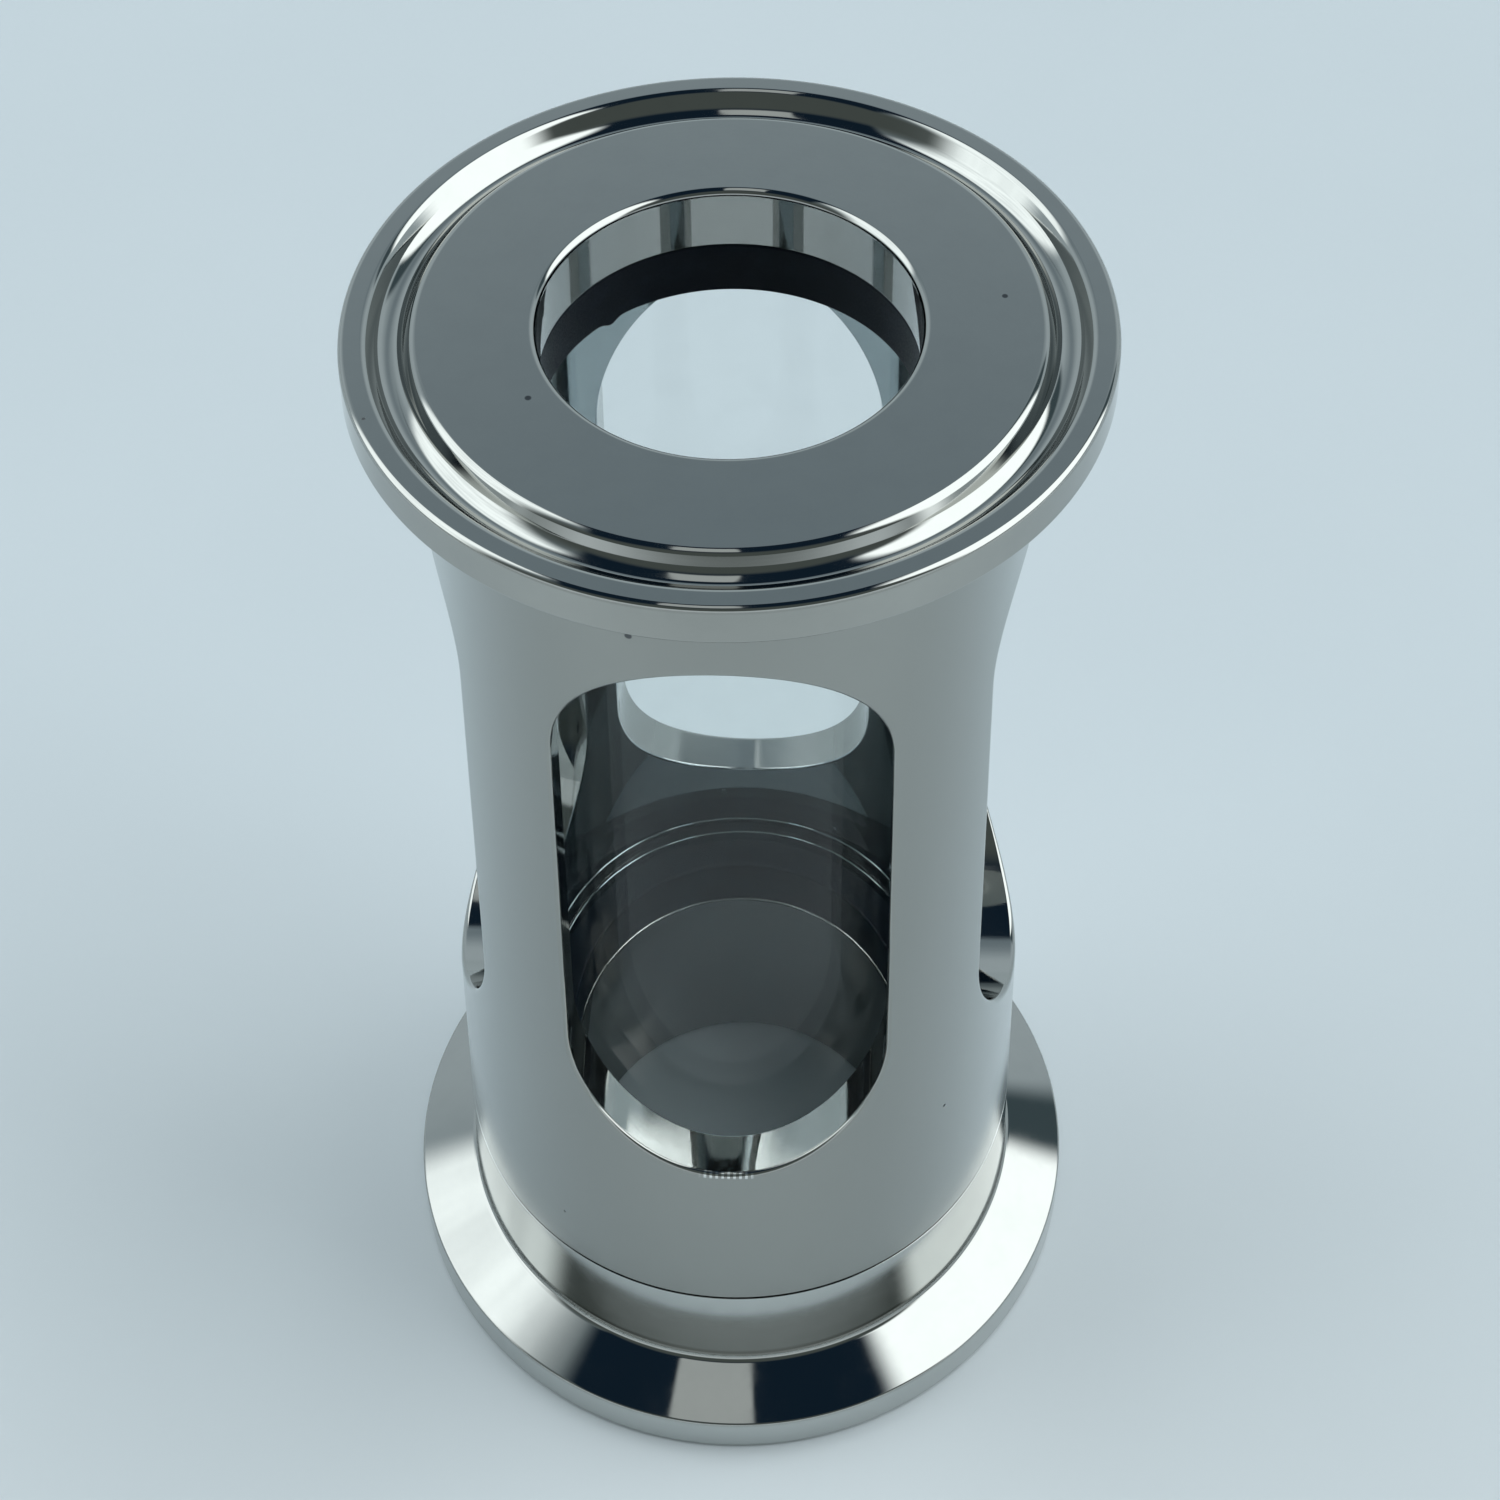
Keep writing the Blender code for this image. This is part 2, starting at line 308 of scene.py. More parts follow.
def window_loop():
    """Points of the window outline, counterclockwise from the lower left, and their normals into it."""
    low = WINDOW_BOTTOM_Z + WINDOW_HALF_WIDTH
    high = WINDOW_TOP_Z - WINDOW_HALF_WIDTH
    arc = WINDOW_HALF_WIDTH * math.pi / 4
    across = STEPS // 4
    found = []

    def on_arc(centre_z, angle):
        direction = np.array((math.cos(angle), math.sin(angle)))
        found.append((*(direction * WINDOW_HALF_WIDTH + (0, centre_z)), *(-direction)))

    def on_side(share, side):
        length = share * (2 * arc + high - low)
        if length < arc:
            angle = (length / arc - 1) * math.pi / 4
            on_arc(low, angle if side > 0 else math.pi - angle)
        elif length > arc + high - low:
            angle = (length - arc - high + low) / arc * math.pi / 4
            on_arc(high, angle if side > 0 else math.pi - angle)
        else:
            found.append((side * WINDOW_HALF_WIDTH, low + length - arc, -side, 0.0))

    for step in range(across):
        on_arc(low, math.radians(-135 + 90 * step / across))
    for step in range(SIDE_STEPS):
        on_side(step / SIDE_STEPS, 1)
    for step in range(across):
        on_arc(high, math.radians(45 + 90 * step / across))
    for step in range(SIDE_STEPS):
        on_side(1 - step / SIDE_STEPS, -1)
    found = np.array(found)
    return found[:, :2], found[:, 2:]


def sector_loop():
    """Angles and heights round the edge of one quarter of the cage, matching the window loop."""
    across = STEPS // 4
    quarter = math.pi / 4
    steps = np.arange(across) / across
    climb = np.arange(SIDE_STEPS) / SIDE_STEPS
    height = CAGE_TOP_Z - CAGE_BOTTOM_Z
    angles = (
        -quarter + 2 * quarter * steps,
        np.full(SIDE_STEPS, quarter),
        quarter - 2 * quarter * steps,
        np.full(SIDE_STEPS, -quarter),
    )
    heights = (
        np.full(across, CAGE_BOTTOM_Z),
        CAGE_BOTTOM_Z + height * climb,
        np.full(across, CAGE_TOP_Z),
        CAGE_TOP_Z - height * climb,
    )
    return np.concatenate(angles), np.concatenate(heights)


def window_sector():
    """One quarter of the cage as loops from its outer edge, through the window wall, to its inner edge."""
    points, into = window_loop()
    edge_angles, edge_heights = sector_loop()
    loops = []
    normals = []
    kinds = []

    def surface(radius, offset, side, shares):
        """Loops on a cylinder between the quarter's edge, share 0, and the window, share 1."""
        near = points - offset * into
        angles = np.arcsin(near[:, 0] / radius)
        for share in shares:
            a = edge_angles + share * (angles - edge_angles)
            z = edge_heights + share * (near[:, 1] - edge_heights)
            radial = np.stack((np.sin(a), -np.cos(a), 0 * a), axis=-1)
            loops.append(radial * radius + np.stack((0 * a, 0 * a, z), axis=-1))
            normals.append(radial * side)
            kinds.append(STEEL)

    def wall_loop(radius, rounding, side, lean):
        """A loop on the rounded edge between a cylinder, lean 0, and the window wall, a quarter turn on."""
        near = points - rounding * (1 - math.sin(lean)) * into
        depth = rounding * (1 - math.cos(lean))
        y = side * depth - np.sqrt(radius**2 - near[:, 0] ** 2)
        radial = np.stack((near[:, 0], -np.sqrt(radius**2 - near[:, 0] ** 2), 0 * y), axis=-1)
        facing = np.stack((into[:, 0], 0 * y, into[:, 1]), axis=-1)
        loops.append(np.stack((near[:, 0], y, near[:, 1]), axis=-1))
        normals.append(unit(math.cos(lean) * side * radial / radius + math.sin(lean) * facing))

    out_shares = (0.0, 0.2, 0.4, 0.6, 0.75, 0.87, 0.95, 1.0)
    surface(BODY_RADIUS, WINDOW_EDGE, 1, out_shares)
    for step in range(1, 6):
        lean = step * math.pi / 10
        wall_loop(BODY_RADIUS, WINDOW_EDGE, 1, lean)
        kinds.append(STEEL)
    for step in range(5, 0, -1):
        lean = step * math.pi / 10
        wall_loop(GLASS_BORE_RADIUS, WINDOW_INNER_EDGE, -1, lean)
        kinds.append(CUT if step == 5 else STEEL)
    surface(GLASS_BORE_RADIUS, WINDOW_INNER_EDGE, -1, out_shares[::-1])
    return np.array(loops), np.array(normals), np.array(kinds[1:])


def guard_mesh():
    """The windowed guard with its clamp flange, flow bore, glass bore and female thread."""
    shell = Shell()
    neck_z = TOP_Z - RIM_THICKNESS - (CLAMP_RADIUS - BODY_RADIUS) * BACK_SLOPE
    thread_low, thread_high = FEMALE_THREAD_Z
    groove = seal_groove(TOP_Z, 1)
    shell.turned(
        [
            (BODY_RADIUS, CAGE_TOP_Z),
            (BODY_RADIUS, neck_z, NECK_FILLET),
            (CLAMP_RADIUS, TOP_Z - RIM_THICKNESS, RIM_BACK_EDGE),
            (CLAMP_RADIUS, TOP_Z, RIM_EDGE),
            groove[0][0],
        ]
    )
    shell.swept_round(*groove)
    shell.turned(
        [
            groove[0][-1],
            (FLOW_BORE_RADIUS, TOP_Z, BORE_EDGE),
            (FLOW_BORE_RADIUS, TOP_Z - LIP_THICKNESS, EDGE),
            (GLASS_BORE_RADIUS, TOP_Z - LIP_THICKNESS, EDGE),
            (GLASS_BORE_RADIUS, CAGE_TOP_Z),
        ]
    )
    shell.turned(
        [
            (GLASS_BORE_RADIUS, CAGE_BOTTOM_Z),
            (GLASS_BORE_RADIUS, LEDGE_Z, FINE_EDGE),
            (FEMALE_MINOR_RADIUS, LEDGE_Z, EDGE),
            (FEMALE_MINOR_RADIUS, thread_high),
        ]
    )
    thread_band(shell, FEMALE_MINOR_RADIUS, FEMALE_CREST, thread_low, thread_high, inside=True)
    shell.turned(
        [
            (FEMALE_MINOR_RADIUS, thread_low),
            (FEMALE_MINOR_RADIUS, JOINT_Z + THREAD_CHAMFER, JOINT_EDGE),
            (FEMALE_MINOR_RADIUS + THREAD_CHAMFER, JOINT_Z, JOINT_EDGE),
            (BODY_RADIUS, JOINT_Z, JOINT_EDGE),
            (BODY_RADIUS, CAGE_BOTTOM_Z),
        ]
    )
    loops, normals, kinds = window_sector()
    for quarter in range(4):
        angle = quarter * math.pi / 2
        shell.sheet(rotated(loops, angle), rotated(normals, angle), kinds)
    return shell


def ferrule_mesh():
    """The lower clamp ferrule with its neck, threaded spigot, gasket seat and flow bore."""
    shell = Shell()
    neck_z = RIM_THICKNESS + (CLAMP_RADIUS - BODY_RADIUS) * BACK_SLOPE
    relief_depth = 0.25
    relief_z = SHOULDER_Z + 0.95
    thread_low, thread_high = MALE_THREAD_Z
    seat_radius = GLASS_BORE_RADIUS - 0.05
    seat_z = lower_low.z - 0.1
    middle_z = seat_z / 2
    groove = seal_groove(0, -1)
    shell.turned([(FLOW_BORE_RADIUS, middle_z), (FLOW_BORE_RADIUS, 0, BORE_EDGE), groove[0][0]])
    shell.swept_round(*groove)
    shell.turned(
        [
            groove[0][-1],
            (CLAMP_RADIUS, 0, RIM_EDGE),
            (CLAMP_RADIUS, RIM_THICKNESS, RIM_BACK_EDGE),
            (BODY_RADIUS, neck_z, NECK_FILLET),
            (BODY_RADIUS, SHOULDER_Z - STEP_DEPTH, JOINT_EDGE),
            (STEP_RADIUS, SHOULDER_Z - STEP_DEPTH, FINE_EDGE),
            (STEP_RADIUS, SHOULDER_Z, FINE_EDGE),
            (MALE_ROOT_RADIUS - relief_depth, SHOULDER_Z, 0.1),
            (MALE_ROOT_RADIUS - relief_depth, relief_z, JOINT_EDGE),
            (MALE_ROOT_RADIUS, relief_z + relief_depth, JOINT_EDGE),
            (MALE_ROOT_RADIUS, thread_low),
        ]
    )
    thread_band(shell, MALE_ROOT_RADIUS, MALE_CREST, thread_low, thread_high, inside=False)
    shell.turned(
        [
            (MALE_ROOT_RADIUS, thread_high),
            (MALE_ROOT_RADIUS, SPIGOT_TOP_Z - THREAD_CHAMFER, JOINT_EDGE),
            (MALE_ROOT_RADIUS - THREAD_CHAMFER, SPIGOT_TOP_Z, JOINT_EDGE),
            (seat_radius, SPIGOT_TOP_Z, FINE_EDGE),
            (seat_radius, seat_z, 0.1),
            (FLOW_BORE_RADIUS, seat_z, 0.2),
            (FLOW_BORE_RADIUS, middle_z),
        ]
    )
    return shell


def ring_mesh(inner, outer, low, high, rounding, inner_rounding):
    """A plain turned ring with rounded edges."""
    shell = Shell()
    middle = (low + high) / 2
    shell.turned(
        [
            (outer, middle),
            (outer, high, rounding),
            (inner, high, inner_rounding),
            (inner, low, inner_rounding),
            (outer, low, rounding),
            (outer, middle),
        ]
    )
    return shell


class Graph:
    """A short way to write shader node trees."""

    def __init__(self, tree):
        self.tree = tree
        tree.nodes.clear()

    def node(self, kind, settings=None, **inputs):
        made = self.tree.nodes.new(kind)
        for key, value in (settings or {}).items():
            setattr(made, key, value)
        for key, value in inputs.items():
            socket = made.inputs[int(key[1:])] if key[0] == "i" and key[1:].isdigit() else None
            if socket is None:
                socket = made.inputs[key.replace("_", " ")]
            if isinstance(value, bpy.types.NodeSocket):
                self.tree.links.new(value, socket)
            else:
                socket.default_value = value
        return made

    def math(self, operation, *values):
        inputs = {f"i{n}": value for n, value in enumerate(values)}
        return self.node("ShaderNodeMath", {"operation": operation}, **inputs).outputs[0]

    def product(self, *values):
        total = values[0]
        for value in values[1:]:
            total = self.math("MULTIPLY", total, value)
        return total

    def sum(self, first, second):
        return self.math("ADD", first, second)

    def ramp(self, value, low, high, first=0.0, second=1.0):
        """A smooth step of a value from one level to another."""
        made = self.node(
            "ShaderNodeMapRange",
            {"interpolation_type": "SMOOTHSTEP"},
            Value=value,
            From_Min=low,
            From_Max=high,
            To_Min=first,
            To_Max=second,
        )
        return made.outputs[0]

    def between(self, value, low, high, soft):
        """1 between two levels and 0 outside them, with soft edges."""
        rise = self.ramp(value, low - soft, low + soft)
        fall = self.ramp(value, high - soft, high + soft, 1.0, 0.0)
        return self.product(rise, fall)

    def noise(self, vector, scale, detail=2.0, roughness=0.5):
        made = self.node(
            "ShaderNodeTexNoise", Vector=vector, Scale=scale, Detail=detail, Roughness=roughness
        )
        return made.outputs[0]

    def combined(self, x, y, z):
        return self.node("ShaderNodeCombineXYZ", X=x, Y=y, Z=z).outputs[0]

    def mixed(self, share, first, second):
        """A colour between two colours."""
        made = self.node("ShaderNodeMix", {"data_type": "RGBA"}, i0=share, i6=first, i7=second)
        return made.outputs[2]

    def bump(self, height, distance, normal=None):
        inputs = {"Height": height, "Distance": distance, "Strength": 1.0}
        if normal is not None:
            inputs["Normal"] = normal
        return self.node("ShaderNodeBump", **inputs).outputs[0]


def new_material(name):
    material = bpy.data.materials.new(name)
    material.use_nodes = True
    return material, Graph(material.node_tree)


def object_position(graph):
    """The position in millimetres, and its three coordinates."""
    spot = graph.node("ShaderNodeTexCoord").outputs["Object"]
    scaled = graph.node("ShaderNodeVectorMath", {"operation": "SCALE"}, i0=spot, i3=1 / MM).outputs[0]
    parts = graph.node("ShaderNodeSeparateXYZ", Vector=scaled).outputs
    return scaled, parts[0], parts[1], parts[2]


def distance_from_axis(graph, x, y):
    return graph.math("SQRT", graph.sum(graph.product(x, x), graph.product(y, y)))


STEEL_COLOUR = (0.37, 0.378, 0.36, 1.0)
STEEL_DARK = (0.33, 0.338, 0.325, 1.0)
# The body wall: a satin finish, with a darker tone that is painted shade.
SATIN_WITH_PAINTED_SHADE = (0.325, 0.335, 0.32, 1.0)
# Painted sheen: a lighter tone on the body where it is seen edge-on.
PAINTED_SHEEN_COLOUR = (0.62, 0.65, 0.65, 1.0)
# Painted light: a lighter tone on the neck and on the lower rim's side.
NECK_RIM_PAINTED_LIGHT = (0.53, 0.55, 0.54, 1.0)
# Painted reflection: a bluish tint on the glass bore's wall inside the cage.
INNER_PAINTED_TINT = (0.34, 0.385, 0.405, 1.0)
# Painted shade: a darker tone on the flow bore's wall.
BORE_PAINTED_SHADE = (0.30, 0.308, 0.30, 1.0)
TOOL_MARK_COLOUR = (0.95, 0.97, 0.97, 1.0)
PIT_COLOUR = (0.03, 0.035, 0.045, 1.0)

# Places and sizes of the dark specks on the upper face and the body.
SPECKS = (
    ((17.83, 2.52, 89.4), 0.24),
    ((-12.36, -7.8, 89.4), 0.26),
    ((-5.48, -20.12, 81.41), 0.3),
)


def turning_lines(graph, x, y, along):
    """Fine rings left by the lathe, at each value of radius plus height."""
    around = 0.04
    across = 3.2
    marks = graph.combined(
        graph.product(x, around), graph.product(y, around), graph.product(along, across)
    )
    return graph.noise(marks, 1.0, 3.0, 0.6)


def milling_lines(graph, x, y, z):
    """Lines left by the cutter, drawn out through the thickness of each window wall."""
    sideways = graph.math("GREATER_THAN", graph.math("ABSOLUTE", x), graph.math("ABSOLUTE", y))
    upright = graph.math("SUBTRACT", 1.0, sideways)
    across = graph.sum(graph.product(x, upright), graph.product(y, sideways))
    along = graph.sum(graph.product(y, upright), graph.product(x, sideways))
    return graph.noise(graph.combined(across, graph.product(along, 0.12), z), 2.2, 3.0, 0.6)


def near_radius(graph, radius, value):
    """1 on the turned wall of this radius."""
    return graph.between(radius, value - 0.1, value + 0.1, 0.05)


def tool_marks(graph, x, y, z, radius):
    """The row of bright ticks in the middle of the front window's sill, at its outer edge."""
    ticks = graph.ramp(graph.math("SINE", graph.product(x, 15.0)), -0.2, 0.5)
    middle = graph.ramp(graph.math("ABSOLUTE", x), 1.5, 2.1, 1.0, 0.0)
    front = graph.ramp(y, -18.0, -19.0)
    edge = graph.between(radius, 20.45, 20.86, 0.03)
    return graph.product(ticks, middle, front, edge, graph.between(z, 26.8, 27.2, 0.05))


def turned_finish_and_painted_light(graph, spot, tone, roughness, pit):
    """Tone, roughness and pits of the turned steel. Roughness differs from wall to wall, and some walls
    carry painted light and shade: a lighter neck and lower rim, a bluish tint inside the glass bore, a
    darker flow bore, and a darker body with a painted sheen towards its edges.
    """
    _, x, y, z = spot
    radius = distance_from_axis(graph, x, y)
    wall = near_radius(graph, radius, BODY_RADIUS)
    body = graph.product(wall, graph.between(z, JOINT_Z, TOP_Z - 6, 0.05))
    neck = graph.product(wall, graph.between(z, 5.3, SHOULDER_Z, 0.2))
    lower_rim = graph.product(
        near_radius(graph, radius, CLAMP_RADIUS),
        graph.ramp(z, RIM_THICKNESS - 0.3, RIM_THICKNESS, 1.0, 0.0),
    )
    inner = graph.product(
        near_radius(graph, radius, GLASS_BORE_RADIUS),
        graph.between(z, SPIGOT_TOP_Z, TOP_Z - LIP_THICKNESS, 0.1),
    )
    # Painted light: the neck and the lower rim's side are made lighter.
    tone = graph.mixed(graph.math("MAXIMUM", neck, lower_rim), tone, NECK_RIM_PAINTED_LIGHT)
    # Painted reflection: a bluish tint on the wall inside the glass bore.
    tone = graph.mixed(inner, tone, INNER_PAINTED_TINT)
    # Painted shade: the flow bore's wall is made darker.
    tone = graph.mixed(near_radius(graph, radius, FLOW_BORE_RADIUS), tone, BORE_PAINTED_SHADE)
    # Satin body wall, darkened as painted shade.
    tone = graph.mixed(body, tone, SATIN_WITH_PAINTED_SHADE)
    # Painted sheen: the body is made lighter where it is seen edge-on.
    facing = graph.node("ShaderNodeLayerWeight", Blend=0.5).outputs["Facing"]
    tone = graph.mixed(graph.product(body, graph.ramp(facing, 0.45, 0.95)), tone, PAINTED_SHEEN_COLOUR)
    marks = tool_marks(graph, x, y, z, radius)
    tone = graph.mixed(graph.product(marks, 0.6), tone, TOOL_MARK_COLOUR)
    roughness = graph.sum(roughness, graph.product(body, 0.17))
    roughness = graph.sum(roughness, graph.product(neck, 0.09))
    for place, size in SPECKS:
        gap = graph.node("ShaderNodeVectorMath", {"operation": "DISTANCE"}, i0=spot[0], i1=place)
        speck = graph.ramp(gap.outputs["Value"], size * 0.6, size, 1.0, 0.0)
        pit = graph.math("MAXIMUM", pit, speck)
    return tone, roughness, pit


def steel_material(name, milled):
    """Polished stainless steel with turning rings, or with milling lines across the window walls."""
    material, graph = new_material(name)
    spot = object_position(graph)
    place, x, y, z = spot
    if milled:
        lines = milling_lines(graph, x, y, z)
        line_depth = 0.0024 * MM
    else:
        lines = turning_lines(graph, x, y, graph.sum(distance_from_axis(graph, x, y), z))
        line_depth = 0.0007 * MM
    waves = graph.noise(place, 0.16, 1.0)
    smears = graph.noise(place, 0.45, 5.0, 0.62)
    normal = graph.bump(lines, line_depth, graph.bump(waves, 0.002 * MM))
    cells = graph.node(
        "ShaderNodeTexVoronoi", {"feature": "F1"}, Vector=place, Scale=0.16, Randomness=1.0
    )
    pit = graph.ramp(cells.outputs["Distance"], 0.018, 0.03, 1.0, 0.0)
    roughness = graph.sum(graph.ramp(smears, 0.35, 0.75, 0.03, 0.07), graph.product(pit, 0.4))
    tone = graph.mixed(graph.ramp(smears, 0.3, 0.8, 0.0, 0.35), STEEL_COLOUR, STEEL_DARK)
    if not milled:
        tone, roughness, pit = turned_finish_and_painted_light(graph, spot, tone, roughness, pit)
    tone = graph.mixed(graph.product(pit, 0.8), tone, PIT_COLOUR)
    shader = graph.node(
        "ShaderNodeBsdfPrincipled",
        Base_Color=tone,
        Metallic=1.0,
        Roughness=roughness,
        Normal=normal,
    )
    graph.node("ShaderNodeOutputMaterial", Surface=shader.outputs[0])
    return material


GLASS_IOR = 1.474


def glass_ends(graph, x, y, z):
    """1 on the flat ends of the tube, which rest on black rubber."""
    half = (glass_high.z - glass_low.z) / 2
    from_middle = graph.math("ABSOLUTE", graph.math("SUBTRACT", z, (glass_low.z + glass_high.z) / 2))
    flat = graph.math("GREATER_THAN", from_middle, half - 0.006)
    seated = graph.math("LESS_THAN", distance_from_axis(graph, x, y), GLASS_RADIUS - 0.45)
    return graph.product(flat, seated)


def glass_material():
    """Clear borosilicate glass with a faint film of dust, and dark where it rests on the gaskets."""
    material, graph = new_material("clear_glass")
    spot, x, y, z = object_position(graph)
    waves = graph.noise(spot, 0.12, 1.0)
    film = graph.noise(spot, 0.35, 6.0, 0.65)
    normal = graph.bump(waves, 0.004 * MM)
    roughness = graph.ramp(film, 0.4, 0.8, 0.0, 0.015)
    surface = {"Roughness": roughness, "Normal": normal}
    through = graph.node(
        "ShaderNodeBsdfRefraction", Color=(0.98, 0.99, 0.988, 1.0), IOR=GLASS_IOR, **surface
    )
    mirror = graph.node("ShaderNodeBsdfAnisotropic", Color=(1.0, 1.0, 1.0, 1.0), **surface)
    haze = graph.node("ShaderNodeBsdfDiffuse", Color=(0.42, 0.6, 0.68, 1.0))
    seated = graph.node("ShaderNodeBsdfDiffuse", Color=(0.004, 0.006, 0.009, 1.0))
    passing = graph.node("ShaderNodeBsdfTransparent", Color=(0.9, 0.93, 0.93, 1.0))

    def blended(share, first, second):
        return graph.node("ShaderNodeMixShader", i0=share, i1=first.outputs[0], i2=second.outputs[0])

    fresnel = graph.node("ShaderNodeFresnel", IOR=GLASS_IOR, Normal=normal).outputs[0]
    made = blended(graph.math("POWER", fresnel, 1.35), through, mirror)
    made = blended(graph.ramp(film, 0.45, 0.85, 0.004, 0.03), made, haze)
    made = blended(glass_ends(graph, x, y, z), made, seated)
    path = graph.node("ShaderNodeLightPath").outputs
    unlit = graph.math("MAXIMUM", path["Is Shadow Ray"], path["Is Diffuse Ray"])
    made = blended(unlit, made, passing)
    graph.node("ShaderNodeOutputMaterial", Surface=made.outputs[0])
    return material


def rubber_material():
    """Moulded black rubber with a fine matt grain and a faint bloom."""
    material, graph = new_material("black_rubber")
    spot = object_position(graph)[0]
    grain = graph.noise(spot, 9.0, 3.0, 0.6)
    bloom = graph.noise(spot, 0.5, 4.0, 0.6)
    tone = graph.mixed(
        graph.ramp(bloom, 0.4, 0.8), (0.0015, 0.004, 0.008, 1.0), (0.004, 0.008, 0.014, 1.0)
    )
    shader = graph.node(
        "ShaderNodeBsdfPrincipled",
        Base_Color=tone,
        Roughness=graph.ramp(grain, 0.3, 0.7, 0.42, 0.6),
        Specular_IOR_Level=0.12,
        Normal=graph.bump(grain, 0.0015 * MM),
    )
    graph.node("ShaderNodeOutputMaterial", Surface=shader.outputs[0])
    return material


def floor_material():
    """A pale blue-grey board with a faint mottle, with a painted pool of light towards the camera and a
    painted shadow beyond it.
    """
    material, graph = new_material("pale_board")
    spot, _, y, _ = object_position(graph)
    mottle = graph.noise(spot, 0.012, 4.0, 0.55)
    grain = graph.noise(spot, 1.4, 3.0, 0.6)
    tone = graph.mixed(
        graph.ramp(mottle, 0.3, 0.7), (0.56, 0.622, 0.652, 1.0), (0.575, 0.637, 0.667, 1.0)
    )
    # Painted light: the board is made lighter towards the camera.
    tone = graph.mixed(graph.ramp(y, 60.0, -110.0), tone, (0.76, 0.805, 0.82, 1.0))
    # Painted shadow: the board is made a little darker further towards the camera.
    tone = graph.mixed(graph.ramp(y, -65.0, -135.0), tone, (0.60, 0.635, 0.645, 1.0))
    shader = graph.node(
        "ShaderNodeBsdfPrincipled",
        Base_Color=tone,
        Roughness=graph.ramp(grain, 0.3, 0.7, 0.5, 0.62),
        Normal=graph.bump(grain, 0.004 * MM),
    )
    graph.node("ShaderNodeOutputMaterial", Surface=shader.outputs[0])
    return material


# The camera stands close above the part. The studio is painted as seen from it: x to the right,
# y away from the camera, z up.
VIEW_TURN = 1.74
CAMERA_PLACE = (3.357, -160.999, 236.288)
CAMERA_RIGHT = (0.999997, -0.001419, -0.00198)
CAMERA_UP = (0.002435, 0.582567, 0.812779)
SENSOR_WIDTH = 36.0
LENS = 80.3926
LENS_SHIFT = (-0.020464, -0.552656)

# Tones of the studio.
HIGH_MIDDLE = (0.26, 0.33, 0.38, 1.0)
HIGH_ASIDE = (0.36, 0.44, 0.49, 1.0)
BACK_WALL = (0.60, 0.70, 0.76, 1.0)
FRONT_DARK = (0.11, 0.13, 0.125, 1.0)
LOW_FRONT = (0.42, 0.47, 0.48, 1.0)
LOW_BACK = (0.55, 0.65, 0.70, 1.0)
FRONT_PATCH = (0.78, 0.86, 0.90, 1.0)
DARK_CEILING = (0.010, 0.024, 0.044, 1.0)
STRIP = (0.66, 0.71, 0.72, 1.0)
SHADE = (0.08, 0.12, 0.14, 1.0)
LEFT_PANEL = (2.15, 2.3, 2.36, 1.0)
RIGHT_PANEL = (2.3, 2.43, 2.48, 1.0)
STUDIO_STRENGTH = 1.12


def studio():
    """A pale studio: a bright panel at each side, a dark ceiling with a grey strip, and pale walls."""
    world = bpy.data.worlds.new("studio")
    world.use_nodes = True
    bpy.context.scene.world = world
    graph = Graph(world.node_tree)
    around = graph.node("ShaderNodeTexCoord").outputs["Generated"]
    seen = graph.node(
        "ShaderNodeVectorRotate",
        {"rotation_type": "Z_AXIS"},
        Vector=around,
        Angle=math.radians(-VIEW_TURN),
    ).outputs[0]
    parts = graph.node("ShaderNodeSeparateXYZ", Vector=seen).outputs
    x, y, z = parts[0], parts[1], parts[2]
    size_x = graph.math("ABSOLUTE", x)
    both = graph.product

    def past(along_x, along_y, offset, soft):
        """1 where along_x * x + along_y * y + offset is above 0, with a soft edge."""
        spot = graph.sum(graph.product(x, along_x), graph.product(y, along_y))
        return graph.ramp(spot, -offset - soft, -offset + soft)

    def without(mask):
        return graph.math("SUBTRACT", 1.0, mask)

    high = graph.mixed(graph.ramp(size_x, 0.04, 0.3), HIGH_MIDDLE, HIGH_ASIDE)
    back = graph.mixed(graph.ramp(z, 0.45, 0.76), BACK_WALL, high)
    tone = graph.mixed(past(0, 1, 0.1, 0.5), FRONT_DARK, back)
    low = graph.mixed(past(0, 1, 0.2, 0.5), LOW_FRONT, LOW_BACK)
    tone = graph.mixed(graph.ramp(z, 0.3, 0.2), tone, low)
    front = both(past(0, -1, -0.55, 0.14), graph.ramp(z, 0.38, 0.28))
    tone = graph.mixed(front, tone, FRONT_PATCH)

    right_inner = past(1, 0.34, -0.31, 0.04)
    left_inner = past(-1, 0.4, -0.375, 0.03)
    middle = both(without(right_inner), without(left_inner), past(0, -1, 0.62, 0.04))
    tone = graph.mixed(both(middle, past(0, 1, 0.45, 0.16)), tone, DARK_CEILING)
    strip = both(past(1, -0.17, 0.143, 0.006), past(-1, -0.05, 0.013, 0.006))
    strip = both(strip, past(0, 1, 0.3, 0.08), past(0, -1, 0.37, 0.05))
    tone = graph.mixed(strip, tone, STRIP)
    shade = both(past(0.3, 1, -0.52, 0.04), past(0, -1, 0.63, 0.03), graph.ramp(z, 0.3, 0.45))
    tone = graph.mixed(both(shade, graph.ramp(size_x, 0.12, 0.22)), tone, SHADE)

    upper = graph.ramp(z, 0.16, 0.24)
    ripple = graph.ramp(graph.noise(seen, 5.0, 3.0), 0.35, 0.65, 0.75, 1.0)
    left = both(left_inner, past(0.3, -1, 0.68, 0.04), past(-0.9, 1, -0.46, 0.16), upper)
    tone = graph.mixed(both(left, ripple), tone, LEFT_PANEL)
    right = both(right_inner, past(-0.18, -1, 0.605, 0.03), past(0.5, 1, 0.04, 0.1), upper)
    tone = graph.mixed(right, tone, RIGHT_PANEL)
    light = graph.node("ShaderNodeBackground", Color=tone, Strength=STUDIO_STRENGTH)
    graph.node("ShaderNodeOutputWorld", Surface=light.outputs[0])


